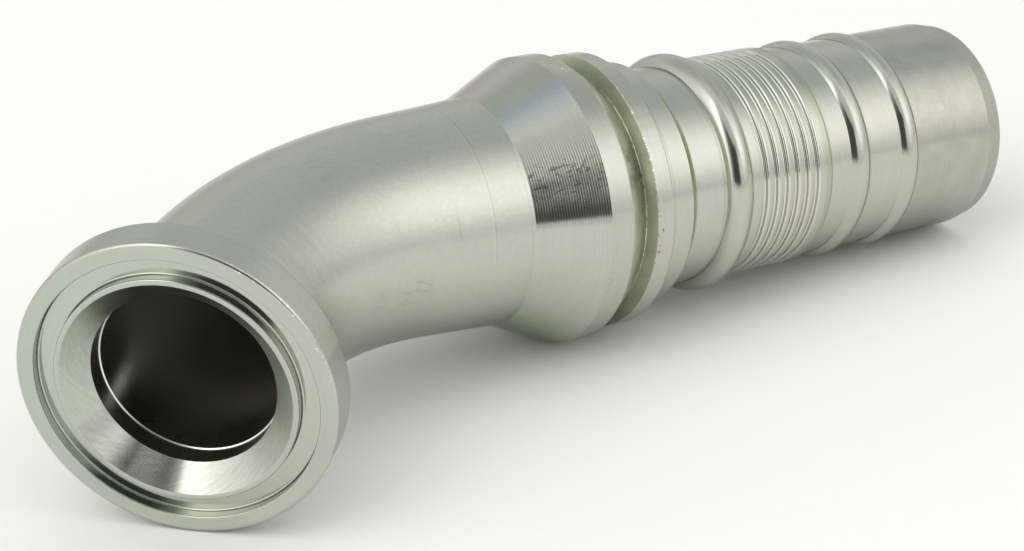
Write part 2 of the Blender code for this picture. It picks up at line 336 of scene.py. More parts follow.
def quad_mesh(name, co, quads):
    """A mesh from points and four-sided faces."""
    mesh = bpy.data.meshes.new(name)
    mesh.vertices.add(len(co))
    mesh.vertices.foreach_set("co", co.astype(np.float32).ravel())
    mesh.loops.add(quads.size)
    mesh.loops.foreach_set("vertex_index", quads.astype(np.int32).ravel())
    mesh.polygons.add(len(quads))
    mesh.polygons.foreach_set("loop_start", (np.arange(len(quads)) * 4).astype(np.int32))
    return mesh


def keep_on_points(mesh, name, kind, field, values):
    """Keeps values on the mesh's points under a name, for the materials."""
    attribute = mesh.attributes.new(name, kind, "POINT")
    attribute.data.foreach_set(field, values.astype(np.float32).ravel())


def build_body():
    """The fine mesh, and the finishes in the order of its material slots.

    Its points keep the developed place, the length along the outline and the angle round the axis.
    """
    profile = outline()
    u, r = np.array(profile.points).T
    n, m = len(u), SEGMENTS
    turn, shift = placement()
    co = bent_points(u, r).reshape(-1, 3) * MM @ turn.T + shift
    i, j = np.meshgrid(np.arange(n), np.arange(m), indexing="ij")
    i2, j2 = (i + 1) % n, (j + 1) % m
    quads = np.stack([i * m + j, i * m + j2, i2 * m + j2, i2 * m + j], -1).reshape(-1, 4)
    mesh = quad_mesh("flange_insert_fine", co, quads)

    # UV: along the outline and round the axis, without a step back where the loops close
    steps = np.hypot(np.diff(u, append=u[0]), np.diff(r, append=r[0]))
    s = np.concatenate([[0.0], np.cumsum(steps)])
    us = (s / s[-1])[np.stack([i, i, i + 1, i + 1], -1)]
    vs = np.stack([j, j + 1, j + 1, j], -1) / m
    layer = mesh.uv_layers.new(name="turning")
    layer.data.foreach_set("uv", np.stack([us, vs], -1).astype(np.float32).ravel())

    theta = angles()
    ring = np.stack([np.repeat(s[:-1], m), np.tile(np.cos(theta), n), np.tile(np.sin(theta), n)], 1)
    keep_on_points(mesh, "place", "FLOAT", "value", np.repeat(u, m))
    keep_on_points(mesh, "ring", "FLOAT_VECTOR", "vector", ring)

    names = list(FINISHES)
    of_row = np.array([names.index(f) for f in profile.finish[1:] + profile.finish[:1]])
    mesh.polygons.foreach_set("material_index", np.repeat(of_row, m).astype(np.int32))
    mesh.update(calc_edges=True)
    mesh.validate()
    mesh.shade_smooth()
    mesh.set_sharp_from_angle(angle=SHARP)
    return mesh, names


class Nodes:
    """Short hand for building a node tree."""

    def __init__(self, tree):
        self.tree = tree
        self.tree.nodes.clear()

    def new(self, kind, **settings):
        node = self.tree.nodes.new(kind)
        for key, value in settings.items():
            setattr(node, key, value)
        return node

    def put(self, socket, value):
        """Links a socket or sets a value, and leaves the input as it is for None."""
        if isinstance(value, bpy.types.NodeSocket):
            self.tree.links.new(value, socket)
        elif value is not None:
            socket.default_value = value

    def math(self, op, a, b=None, c=None):
        node = self.new("ShaderNodeMath", operation=op)
        for k, value in enumerate((a, b, c)):
            self.put(node.inputs[k], value)
        return node.outputs[0]

    def chained(self, op, values):
        result = values[0]
        for value in values[1:]:
            result = self.math(op, result, value)
        return result

    def times(self, *values):
        return self.chained("MULTIPLY", values)

    def total(self, *values):
        return self.chained("ADD", values)

    def vec(self, op, a):
        node = self.new("ShaderNodeVectorMath", operation=op)
        self.put(node.inputs[0], a)
        return node.outputs["Vector"]

    def split(self, vector):
        node = self.new("ShaderNodeSeparateXYZ")
        self.put(node.inputs[0], vector)
        return node.outputs[0], node.outputs[1], node.outputs[2]

    def join(self, x, y, z):
        node = self.new("ShaderNodeCombineXYZ")
        for k, value in enumerate((x, y, z)):
            self.put(node.inputs[k], value)
        return node.outputs[0]

    def span(self, value, low, high, out_low=0.0, out_high=1.0, smooth=True):
        """out_low below low and out_high above high, with a smooth or a straight way between them."""
        node = self.new("ShaderNodeMapRange", interpolation_type="SMOOTHSTEP" if smooth else "LINEAR")
        for k, v in enumerate((value, low, high, out_low, out_high)):
            self.put(node.inputs[k], v)
        return node.outputs[0]

    def window(self, value, low_out, low_in, high_in, high_out):
        """1 between the inner limits, falling to 0 at the outer ones."""
        rising = self.span(value, low_out, low_in)
        return self.times(rising, self.span(value, high_in, high_out, 1.0, 0.0))

    def noise(self, vector, scale=1.0, detail=2.0, rough=0.5, distort=0.0):
        node = self.new("ShaderNodeTexNoise", noise_dimensions="3D")
        self.put(node.inputs["Vector"], vector)
        node.inputs["Scale"].default_value = scale
        node.inputs["Detail"].default_value = detail
        node.inputs["Roughness"].default_value = rough
        node.inputs["Distortion"].default_value = distort
        return node.outputs["Fac"]

    def mix(self, fac, a, b, blend="MIX"):
        node = self.new("ShaderNodeMix", data_type="RGBA", blend_type=blend)
        self.put(node.inputs[0], fac)
        self.put(node.inputs[6], a)
        self.put(node.inputs[7], b)
        return node.outputs[2]

    def tint(self, fac, colour, by):
        """The colour times another one, (r, g, b), as far as fac says."""
        return self.mix(fac, colour, rgb(*by), "MULTIPLY")

    def shade(self, colour, by, fac=1.0):
        """The colour with all three of its values times one number's socket."""
        return self.mix(fac, colour, self.join(by, by, by), "MULTIPLY")

    def attribute(self, name, output):
        return self.new("ShaderNodeAttribute", attribute_name=name).outputs[output]


def rgb(r, g, b):
    return (r, g, b, 1.0)


class Turned:
    """Places on the turned body, for a material's nodes.

    u is the place along the developed length from the sealing face, and s the length along the outline,
    both in millimetres. c and d are the cosine and sine of the angle round the axis, and angle is that
    angle in degrees: 0 on the inner side of the bend, 90 on top. point is the place in metres, and wave
    is the tool's feed in a finish that has one.
    """

    def __init__(self, n):
        self.n = n
        self.s, self.c, self.d = n.split(n.attribute("ring", "Vector"))
        self.u = n.attribute("place", "Fac")
        self.angle = n.times(n.math("ARCTAN2", self.d, self.c), DEGREES)
        self.point = n.new("ShaderNodeTexCoord").outputs["Object"]
        self.wave = None

    def round_about(self, along, about):
        """Point for a texture with so many cells a millimetre along, and so many a radius round."""
        n = self.n
        return n.join(n.times(self.s, along), n.times(self.c, about), n.times(self.d, about))

    def area(self, u0, u1, a0, a1, soft_u=1.0, soft_a=2.0):
        """1 in a stretch of the length and of the angle, with soft edges."""
        n = self.n
        across = n.window(self.u, u0 - soft_u, u0 + soft_u, u1 - soft_u, u1 + soft_u)
        about = n.window(self.angle, a0 - soft_a, a0 + soft_a, a1 - soft_a, a1 + soft_a)
        return n.times(across, about)


def tints(t, colour, layers):
    """Tints by the angle round the axis, each (start, full, still full, end, tint): film and painted
    tints.
    """
    n = t.n
    for low_out, low_in, high_in, high_out, tint in layers:
        angle = n.total(t.angle, n.times(n.noise(t.point, 40.0, 2.0), 6.0))
        colour = n.tint(n.window(angle, low_out, low_in, high_in, high_out), colour, tint)
    return colour


def film(t, colour):
    """A faint blue green tint painted on the upper sides, for the cool light that they mirror."""
    # Painted reflection: a cool tint on the upper side
    return tints(t, colour, [(56.0, 70.0, 84.0, 106.0, (0.965, 1.0, 1.0))])


def smudges(t, colour, patches):
    """Rubbed patches: each is (area, cells, slant, strength)."""
    n = t.n
    for area, cells, slant, strength in patches:
        skew = n.join(n.total(t.u, n.times(t.angle, slant)), n.times(t.angle, 0.4), 0.0)
        streak = n.span(n.noise(skew, cells, 4.0, 0.65, 0.4), 0.50, 0.62)
        colour = n.mix(n.times(t.area(*area), streak, strength), colour, rgb(*RUBBED))
    return colour


def scratches(t, colour, patches):
    """Fine bright scratches in an area: each is (area, cells, strength)."""
    n = t.n
    for area, cells, strength in patches:
        skew = n.join(n.times(t.u, 1.6), n.times(t.angle, 0.20), 0.0)
        line = n.math("ABSOLUTE", n.math("SUBTRACT", n.noise(skew, cells, 1.0, 0.5, 0.8), 0.5))
        broken = n.span(n.noise(t.point, 420.0, 2.0), 0.45, 0.55)
        mask = n.times(t.area(*area), n.span(line, 0.0, 0.022, strength, 0.0), broken)
        colour = n.mix(mask, colour, rgb(*SCRATCHED))
    return colour


def cut_lines(t, colour, lines, fade=12.0):
    """Single lines round the body: each is (place, half width, first angle, last angle, tint)."""
    n = t.n
    for u, half, a0, a1, tint in lines:
        off = n.math("ABSOLUTE", n.math("SUBTRACT", t.u, u))
        about = n.window(t.angle, a0 - fade, a0, a1, a1 + fade)
        colour = n.tint(n.times(n.span(off, 0.3 * half, half, 1.0, 0.0), about), colour, tint)
    return colour


def wear(low_out, low_in, high_in, high_out, most, least):
    """Patchy wear between two angles round the axis, for the worn setting of a finish."""
    def added(t):
        n = t.n
        patchy = n.span(n.noise(t.point, 260.0, 3.0, 0.6), 0.35, 0.6, least, most, smooth=False)
        return n.times(n.window(t.angle, low_out, low_in, high_in, high_out), patchy)
    return added


def deep(t):
    """The bore is rough past its turned mouth, for the worn setting of a finish."""
    return t.n.span(t.u, TURNED_MOUTH, 30.0, 0.0, 0.36)


def relief(t, lines, ripple, feed):
    """The bump of the turning lines, of the uneven plate and of the tool's feed."""
    n = t.n
    fine_lines = n.noise(t.round_about(3.6, 0.6), 1.0, 3.0, 0.65)
    uneven = n.noise(t.point, 420.0, 3.0, 0.55)
    height = n.total(n.times(fine_lines, lines * MICRON), n.times(uneven, ripple * MICRON))
    if feed:
        pitch, rise = feed
        phase = n.total(n.times(t.s, 2.0 * math.pi / pitch), n.times(t.angle, 1.0 / DEGREES))
        t.wave = n.math("SINE", phase)
        patchy = n.noise(t.round_about(0.8, 7.0), 1.0, 3.0, 0.6)
        share = n.span(patchy, 0.35, 0.65, 0.55, 1.25, smooth=False)
        height = n.total(height, n.times(t.wave, share, rise * MICRON))
    bump = n.new("ShaderNodeBump")
    bump.inputs["Strength"].default_value = 1.0
    bump.inputs["Distance"].default_value = 1.0
    n.put(bump.inputs["Height"], height)
    return bump.outputs[0]


def plate_colour(t, base, tone, streak, grain):
    """Large soft fields of two near tones, with streaks round the axis, grain and painted shade of the
    feed.
    """
    n = t.n
    field = n.noise(t.point, 14.0, 3.0, 0.55, 0.6)
    light_tone = rgb(*(c * tone for c in base))
    warm_tone = rgb(*(c * tone * w for c, w in zip(base, WARMER)))
    colour = n.mix(n.span(field, 0.44, 0.62), light_tone, warm_tone)
    round_axis = n.noise(t.round_about(1.7, 1.2), 1.0, 3.0, 0.65)
    streaks = n.span(round_axis, 0.30, 0.70, 1.0 - streak, 1.0 + streak, smooth=False)
    fine = n.noise(t.point, 1100.0, 2.0, 0.6)
    grains = n.span(fine, 0.3, 0.7, 1.0 - grain, 1.0 + grain, smooth=False)
    shade = n.times(streaks, grains)
    # Painted shade: the colour darkens and lightens with the feed's ridges
    if t.wave is not None:
        shade = n.times(shade, n.span(t.wave, -1.0, 1.0, 0.93, 1.05, smooth=False))
    return n.shade(colour, shade)


def zinc(name, rough, spread, lines, ripple, feed=None, base=ZINC, tone=1.0, streak=0.03, grain=0.02,
         extra=None, worn=None):
    """Zinc plated turned steel.

    rough is the roughness, and spread the anisotropy that the marks round the axis give. lines, ripple
    and the height of feed are in micrometres: lines for the marks that run round the axis, ripple for
    the unevenness of the plate, and feed = (pitch in millimetres, height) for the tool's feed. tone
    scales the base colour, and streak and grain are the shares by which they vary it. extra adds the
    marks of one region to the colour, and worn gives what that region's wear adds to the roughness.
    """
    mat = bpy.data.materials.new(name)
    mat.use_nodes = True
    n = Nodes(mat.node_tree)
    out = n.new("ShaderNodeOutputMaterial")
    shader = n.new("ShaderNodeBsdfPrincipled")
    n.put(out.inputs["Surface"], shader.outputs[0])
    t = Turned(n)
    n.put(shader.inputs["Normal"], relief(t, lines, ripple, feed))
    colour = plate_colour(t, base, tone, streak, grain)
    n.put(shader.inputs["Base Color"], extra(t, colour) if extra else colour)
    cloud = n.noise(t.point, 70.0, 4.0, 0.6)
    dull = n.span(cloud, 0.32, 0.68, rough - 0.03, rough + 0.03, smooth=False)
    n.put(shader.inputs["Roughness"], n.total(dull, worn(t)) if worn else dull)
    shader.inputs["Metallic"].default_value = 1.0
    shader.inputs["Specular Tint"].default_value = rgb(*EDGE_TINT)
    shader.inputs["Anisotropic"].default_value = spread
    tangent = n.new("ShaderNodeTangent", direction_type="UV_MAP", uv_map="turning")
    n.put(shader.inputs["Tangent"], tangent.outputs[0])
    return mat


def face_marks(t, colour):
    """Pale green on one side of the face, pale rose on the other, and painted light on a stretch below.
    """
    n = t.n
    green = n.math("MULTIPLY_ADD", t.c, -0.5, 0.5)
    green = n.total(green, n.span(n.noise(t.point, 60.0, 2.0), 0.3, 0.7, -0.3, 0.3))
    colour = n.tint(n.span(green, 0.20, 0.95), colour, (0.925, 1.01, 0.985))
    colour = n.tint(n.span(green, 0.60, 0.15), colour, (0.965, 0.98, 0.99))
    # Painted light: lifts the low stretch of the face, where it mirrors the shaded floor
    return n.tint(n.window(t.angle, -125.0, -90.0, -50.0, -5.0), colour, (1.17, 1.14, 1.13))


def bore_marks(t, colour):
    """Darker past the turned mouth, where the plate is thin."""
    return t.n.tint(t.n.span(t.u, TURNED_MOUTH, 32.0), colour, (0.84, 0.85, 0.78))


def groove_marks(t, colour):
    """A pale film, bluer than on the face, on the side away from the bend."""
    return t.n.tint(t.n.span(t.c, 0.6, -0.8), colour, (0.95, 1.0, 1.02))


def sink_marks(t, colour):
    """A pale green film on most of the countersink, and slanting marks from chatter of the tool."""
    n = t.n
    across = n.math("MULTIPLY_ADD", t.angle, 0.30, n.times(t.s, 1.6))
    slant = n.join(across, n.times(t.s, 0.3), 0.0)
    hatch = n.span(n.noise(slant, 1.0, 3.0, 0.7), 0.34, 0.66, 0.91, 1.06, smooth=False)
    colour = n.shade(colour, hatch)
    green = (0.945, 1.0, 0.965)
    # The angle jumps from 180 to -180 degrees inside the film, so it is in two stretches
    return tints(t, colour, [
        (-16.0, 0.0, 190.0, 191.0, green),
        (-191.0, -190.0, -148.0, -138.0, green),
    ])


def rim_marks(t, colour):
    """A painted cool tint on the upper side, and nicks along the front edge where it was knocked."""
    n = t.n
    # Painted reflection: a cool blue green tint on the upper side
    upper = n.times(n.window(t.angle, 60.0, 74.0, 190.0, 191.0), n.span(t.u, 0.7, 1.1))
    colour = n.tint(upper, colour, (0.93, 1.0, 1.035))
    along = n.noise(n.join(n.times(t.c, 60.0), n.times(t.d, 60.0), t.s), 1.0, 2.0)
    edge = n.times(n.window(t.angle, 15.0, 30.0, 75.0, 85.0), n.span(t.u, 0.75, 0.25))
    nicks = n.times(edge, n.span(along, 0.58, 0.66, 0.0, 0.7))
    return n.mix(nicks, colour, rgb(0.95, 0.95, 0.88))


def tube_marks(t, colour):
    """A blue green tint painted on the upper side for the cool light, rubbed patches and turning lines.
    """
    n = t.n
    # Painted reflection: a cool blue green tint on the upper side
    upper = n.times(n.window(t.angle, 60.0, 76.0, 94.0, 112.0), n.span(t.u, 74.0, 90.0, 1.0, 0.0))
    colour = n.tint(upper, colour, (0.935, 1.0, 1.03))
    colour = smudges(t, colour, [
        ((60.0, 71.0, -7.0, 9.0, 2.0, 4.0), 0.55, 1.1, 0.42),
        ((48.0, 54.0, -2.0, 9.0, 1.5, 3.0), 0.7, 0.9, 0.32),
        ((68.0, 80.0, 25.0, 40.0, 2.0, 4.0), 1.1, -0.5, 0.14),
        ((75.0, 80.0, 24.0, 38.0, 0.8, 4.0), 2.2, 0.15, 0.20),
        ((50.0, 57.0, 76.0, 92.0, 2.0, 4.0), 0.6, 0.7, 0.22),
        ((27.0, 31.0, 33.0, 42.0, 1.0, 2.0), 0.9, 0.5, 0.30),
    ])
    colour = cut_lines(t, colour, [
        (CONE - 8.92, 0.28, 14.0, 105.0, (0.90, 0.90, 0.88)),
        (CONE - 9.27, 0.25, 14.0, 105.0, (1.04, 1.04, 1.04)),
        (BEND_END + 0.68, 0.30, 26.0, 34.0, (0.93, 0.93, 0.90)),
        (CONE - 0.82, 0.30, -40.0, 60.0, (0.93, 0.93, 0.90)),
    ])
    near_head = n.window(t.u, HEAD_T + NECK_FILLET, 20.0, 34.0, 48.0)
    near_head = n.times(near_head, n.window(t.angle, 20.0, 38.0, 66.0, 72.0))
    tool = n.span(n.noise(t.round_about(1.1, 0.8), 1.0, 3.0, 0.7), 0.36, 0.64, 1.02, 0.95)
    return n.shade(colour, tool, near_head)


def cone_marks(t, colour):
    """Film tints round the cone, painted light and shade on the feed's lines, and painted dark streaks.
    """
    n = t.n
    colour = tints(t, colour, [
        (-64.0, -54.0, -34.0, -22.0, (0.93, 1.03, 0.95)),
        (70.0, 79.0, 86.0, 92.0, (0.91, 1.0, 1.15)),
        (86.0, 92.0, 98.0, 103.0, (0.95, 1.01, 0.95)),
        (98.0, 106.0, 125.0, 135.0, (1.03, 0.985, 1.03)),
    ])
    # Painted light and shade: the feed's lines in colour, where the cone mirrors the dark opening
    uneven = n.span(n.noise(t.round_about(0.5, 5.0), 1.0, 3.0, 0.6), 0.35, 0.62, 0.3, 1.0)
    painted_feed_shade = n.times(n.window(t.angle, 22.0, 34.0, 46.0, 62.0), uneven)
    colour = n.shade(colour, n.span(t.wave, -1.0, 1.0, 0.50, 1.50, smooth=False), painted_feed_shade)
    # Painted reflection: dark streaks at the edge of the dark opening's reflection
    streak = n.span(n.noise(t.round_about(0.55, 30.0), 1.0, 4.0, 0.7, 0.6), 0.54, 0.62)
    painted_dark_streaks = n.times(n.window(t.angle, 33.0, 38.0, 46.0, 55.0), streak, 0.8)
    return n.mix(painted_dark_streaks, colour, rgb(0.14, 0.14, 0.10))


def collar_marks(t, colour):
    """Painted cool tint on the upper side, scuffs, and a rubbed patch where the cone meets the collar.
    """
    # Painted reflection: film() gives the upper side a cool tint
    colour = scratches(t, film(t, colour), [
        ((COLLAR + 0.63, SLOPE - 0.17, 89.0, 97.0, 0.6, 1.5), 1.3, 0.95),
        ((COLLAR + 0.63, NOTCH - 0.77, 94.0, 120.0, 1.5, 4.0), 0.55, 0.55),
    ])
    by_cone = (COLLAR - 0.17, COLLAR + 1.23, -12.0, 16.0, 0.3, 4.0)
    return smudges(t, colour, [(by_cone, 1.4, 0.2, 0.35)])


def notch_marks(t, colour):
    """Clouded slope with painted light and shade and scratches; at its foot, burr specks and painted
    shade.
    """
    n = t.n
    cloud = n.span(n.noise(t.point, 320.0, 4.0, 0.6), 0.35, 0.65, 0.84, 1.08, smooth=False)
    colour = n.mix(1.0, colour, n.join(cloud, cloud, n.times(cloud, 0.98)), "MULTIPLY")
    # Painted shade: lighter at the top of the slope and darker down towards the notch
    colour = n.shade(colour, n.span(t.u, SLOPE, NOTCH - 1.0, 1.15, 0.85, smooth=False))
    # Painted highlight where the slope mirrors the right source, with a painted darker band in it
    jitter = n.math("SUBTRACT", n.noise(t.point, 130.0, 3.0), 0.5)
    angle = n.math("MULTIPLY_ADD", jitter, 40.0, t.angle)
    colour = n.tint(n.window(angle, 24.0, 36.0, 64.0, 74.0), colour, (1.22, 1.22, 1.22))
    colour = n.tint(n.window(angle, 40.0, 46.0, 48.0, 54.0), colour, (0.80, 0.81, 0.80))
    on_slope = (COLLAR + 0.63, NOTCH - 0.27, 86.0, 125.0, 1.5, 4.0)
    colour = scratches(t, colour, [(on_slope, 0.55, 0.55)])
    around = n.join(n.times(t.c, 9.0), n.times(t.d, 9.0), n.times(t.u, 0.6))
    specks = n.noise(around, 1.0, 4.0, 0.75)
    u = n.math("MULTIPLY_ADD", n.math("SUBTRACT", specks, 0.5), 0.9, t.u)
    thin = n.window(u, NOTCH - 0.30, NOTCH - 0.20, NOTCH - 0.10, NOTCH)
    pale = n.times(thin, n.window(t.angle, -20.0, 0.0, 70.0, 85.0), 0.8)
    colour = n.mix(pale, colour, rgb(0.86, 0.88, 0.76))
    # Dark specks in the crease beside the foot: burr specks and painted shade
    beside = n.window(u, NOTCH - 0.08, NOTCH, NOTCH + 0.2, NOTCH + 0.3)
    dark = n.times(beside, n.span(specks, 0.52, 0.62, 0.25, 0.85))
    return n.mix(dark, colour, rgb(0.10, 0.11, 0.06))


def shoulder_marks(t, colour):
    """Painted cool tint on the upper side, small dark specks by the front edge and bright chips along
    it.
    """
    n = t.n
    # Painted reflection: film() gives the upper side a cool tint
    colour = film(t, colour)
    spot = n.span(n.noise(t.point, 1250.0, 1.0, 0.4), 0.665, 0.70)
    speck = n.times(t.area(SHOULDER - 0.2, SHOULDER + 1.4, -6.0, 20.0, 0.4, 3.0), spot, 0.8)
    colour = n.mix(speck, colour, rgb(0.12, 0.12, 0.08))
    around = n.join(n.times(t.c, 26.0), n.times(t.d, 26.0), 0.0)
    chips = n.span(n.noise(around, 1.0, 3.0, 0.7), 0.53, 0.61, 0.0, 0.8)
    at_edge = n.span(t.u, SHOULDER + 0.22, SHOULDER + 0.32, 1.0, 0.0)
    mask = n.times(n.window(t.angle, 14.0, 26.0, 70.0, 84.0), at_edge, chips)
    return n.mix(mask, colour, rgb(0.97, 0.97, 0.93))


def ring_marks(t, colour):
    """Painted cool tint on the upper side, and one line round the middle."""
    # Painted reflection: film() gives the upper side a cool tint
    return cut_lines(t, film(t, colour), [(RING + 2.4, 0.3, -40.0, 95.0, (0.88, 0.88, 0.84))])


def end_marks(t, colour):
    """Painted cool tint on the upper side, and a faint mottle."""
    n = t.n
    mottle = n.span(n.noise(t.point, 230.0, 4.0, 0.65), 0.34, 0.66, 0.93, 1.04, smooth=False)
    # Painted reflection: film() gives the upper side a cool tint
    return n.shade(film(t, colour), mottle)


def stem_marks(t, colour):
    """Painted cool tint on the upper sides but the first bead, and painted shade in lines by the beads.
    """
    n = t.n
    first_bead = n.window(t.u, BEAD - 0.3, BEAD + 0.3, BEAD + BEAD_L - 0.3, BEAD + BEAD_L)
    # Painted reflection: a cool tint on the upper side, but not on the first bead
    colour = n.mix(first_bead, film(t, colour), colour)
    # Painted reflection: a slightly greener tint on the land's upper side
    painted_land_tint = n.window(t.u, LAND, FINE, LAND_END - 4.0, LAND_END)
    painted_land_tint = n.times(n.window(t.angle, 54.0, 68.0, 84.0, 108.0), painted_land_tint)
    colour = n.tint(painted_land_tint, colour, (0.975, 1.0, 0.995))
    # Painted shade: dark lines by the beads and at the land's edges, olive at the land's end
    soft, painted_crease_olive = (0.87, 0.88, 0.80), (0.72, 0.73, 0.58)
    lines = [
        (BAND + 0.1, 0.3, soft),
        (BEAD - 0.7, 0.35, soft),
        (BEAD + BEAD_L - 1.9, 0.9, soft),
        (LAND + 0.2, 0.3, soft),
        (LAND_END - 1.0, 1.5, soft),
        (LAND_END + 0.1, 0.45, painted_crease_olive),
        (BEAD_2 + BEAD_2_L, 0.35, soft),
        (BEAD_3 + BEAD_3_L, 0.35, soft),
    ]
    return cut_lines(t, colour, [(u, half, -50.0, 110.0, tint) for u, half, tint in lines])


# Each finish: its material's name, roughness and anisotropy, the height of its lines and ripple in
# micrometres, and what only it has
FINISHES = {
    "sink": lambda: zinc("zinc_countersink", 0.15, 0.8, 1.5, 2.2, feed=(0.30, 1.6), extra=sink_marks,
                         worn=wear(-50.0, -18.0, 5.0, 120.0, 0.20, 0.17)),
    "face": lambda: zinc("zinc_face", 0.22, 0.3, 0.5, 0.8, extra=face_marks),
    "groove": lambda: zinc("zinc_groove", 0.10, 0.5, 0.3, 0.35, extra=groove_marks),
    "head": lambda: zinc("zinc_head", 0.18, 0.5, 0.5, 0.8, tone=0.97, extra=rim_marks),
    "tube": lambda: zinc("zinc_tube", 0.23, 0.4, 0.25, 0.9, streak=0.012, grain=0.035,
                         extra=tube_marks),
    "cone": lambda: zinc("zinc_cone", 0.13, 0.8, 1.0, 4.0, feed=(0.53, 2.3), extra=cone_marks,
                         worn=wear(27.0, 36.0, 46.0, 60.0, 0.13, 0.08)),
    "collar": lambda: zinc("zinc_collar", 0.20, 0.6, 0.5, 1.2, tone=0.98, extra=collar_marks),
    # Lighter olive zinc on the notch slope: painted light, and painted olive of the wall it mirrors
    "notch": lambda: zinc("zinc_notch_slope_painted_light", 0.34, 0.4, 0.8, 3.0, base=(0.70, 0.71, 0.61),
                          extra=notch_marks, worn=wear(24.0, 38.0, 62.0, 72.0, -0.12, -0.06)),
    # Darker olive zinc on the notch's front wall: painted shade in the notch
    "wall": lambda: zinc("zinc_notch_wall_painted_shade", 0.36, 0.2, 0.8, 2.0, base=(0.485, 0.520, 0.415)),
    "shoulder": lambda: zinc("zinc_shoulder", 0.17, 0.5, 0.6, 1.2, extra=shoulder_marks),
    "ring": lambda: zinc("zinc_ring", 0.16, 0.6, 0.5, 1.2, extra=ring_marks),
    # Lighter olive zinc in the relief groove: painted light and painted olive reflection
    "relief": lambda: zinc("zinc_relief_painted_light", 0.45, 0.2, 0.4, 1.0, base=(0.86, 0.86, 0.70)),
    # Lighter zinc on the fine grooves' back walls: a painted highlight
    "bright": lambda: zinc("zinc_groove_walls_painted_highlight", 0.07, 0.5, 0.2, 0.3, base=(0.67, 0.68, 0.61)),
    # Lighter zinc on the ledge in the mouth: a painted highlight
    "ledge": lambda: zinc("zinc_ledge", 0.30, 0.2, 0.4, 1.0, base=(0.80, 0.81, 0.79)),
    "stem": lambda: zinc("zinc_stem", 0.15, 0.6, 0.4, 0.8, extra=stem_marks),
    # The free end's zinc toned down to 0.89: painted shade, as it lies farther from the light
    "end": lambda: zinc("zinc_stem_end_painted_shade", 0.21, 0.5, 0.3, 1.4, tone=0.89, extra=end_marks),
    "tip": lambda: zinc("zinc_tip", 0.34, 0.4, 0.6, 1.5, tone=0.84),
    "bore": lambda: zinc("steel_bore", 0.27, 0.4, 1.5, 1.5, base=(0.40, 0.40, 0.35),
                         extra=bore_marks, worn=deep),
}


def body():
    """The fine body in place of the solid model's node."""
    mesh, names = build_body()
    for name in names:
        mesh.materials.append(FINISHES[name]())
    ob = bpy.data.objects.new("flange_insert_body", mesh)
    bpy.context.scene.collection.objects.link(ob)
    flat = ob.modifiers.new("flat_walls", "WEIGHTED_NORMAL")
    flat.keep_sharp = True
    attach(ob, "root")
    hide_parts("flange_insert")


def floor():
    """A pale sheet, wide enough to reach the horizon."""
    mat = bpy.data.materials.new("pale_floor")
    mat.use_nodes = True
    n = Nodes(mat.node_tree)
    out = n.new("ShaderNodeOutputMaterial")
    shader = n.new("ShaderNodeBsdfPrincipled")
    n.put(out.inputs["Surface"], shader.outputs[0])
    paper = n.noise(n.new("ShaderNodeTexCoord").outputs["Object"], 300.0, 3.0, 0.6)
    n.put(shader.inputs["Base Color"], n.mix(paper, rgb(0.885, 0.885, 0.875), rgb(0.905, 0.905, 0.895)))
    shader.inputs["Roughness"].default_value = 0.9
    mesh = bpy.data.meshes.new("floor")
    h = FLOOR_HALF
    mesh.from_pydata([(-h, -h, 0), (h, -h, 0), (h, h, 0), (-h, h, 0)], [], [(0, 1, 2, 3)])
    mesh.materials.append(mat)
    ob = bpy.data.objects.new("floor", mesh)
    ob.location.z = -FLOOR_DROP
    bpy.context.scene.collection.objects.link(ob)


def right_source(n, az, el):
    """A source that is brightest at its far side, with a clear near edge."""
    near = n.times(n.window(az, 87.0, 95.0, 158.0, 174.0), n.window(el, 2.0, 22.0, 40.0, 62.0))
    ramp = n.times(n.span(az, 94.0, 146.0, smooth=False), n.span(az, 158.0, 174.0, 1.0, 0.0))
    lowest = n.span(el, -1.0, 28.0, smooth=False)
    rise = n.times(lowest, n.span(el, 38.0, 84.0, 1.0, 0.12, smooth=False))
    return n.total(n.times(near, RIGHT_NEAR), n.times(ramp, rise, RIGHT_FAR))


def left_source(n, az, el):
    """A source with a clear edge towards the viewer, fading away from it."""
    ramp = n.times(n.span(az, -122.0, -112.0), n.span(az, -104.0, -36.0, 1.0, 0.12, smooth=False))
    ramp = n.times(ramp, n.span(az, -36.0, -20.0, 1.0, 0.0))
    ramp = n.total(ramp, n.times(n.window(az, -118.0, -110.0, -98.0, -80.0), 0.22))
    rise = n.times(n.span(el, -2.0, 42.0, 0.35, 1.0, smooth=False), n.span(el, 58.0, 82.0, 1.0, 0.0))
    return n.times(ramp, rise, LEFT)


def strip_source(n, az, el):
    """A narrow strip of light past the right source, beside the opening where the viewer stands."""
    past = n.span(n.math("ABSOLUTE", az), 171.0, 176.0)
    return n.times(past, n.window(el, 8.0, 17.0, 24.0, 33.0), STRIP)


def viewer_opening(n, az, el):
    """What is left of the light in the dark opening where the viewer stands, and just over it."""
    top = n.span(az, -163.0, -128.0, 37.0, 54.0, smooth=False)
    below_top = n.span(n.math("SUBTRACT", el, top), -1.5, 2.5, 1.0, 0.0)
    opening = n.times(n.window(az, -174.0, -168.0, -138.0, -110.0), n.span(el, 1.0, 5.0), below_top)
    over = n.times(n.window(az, -176.0, -168.0, -134.0, -124.0), n.window(el, 43.0, 47.0, 54.0, 68.0))
    in_opening = n.span(opening, 0.0, 1.0, 1.0, IN_OPENING, smooth=False)
    return n.times(in_opening, n.span(over, 0.0, 1.0, 1.0, OVER_OPENING, smooth=False))


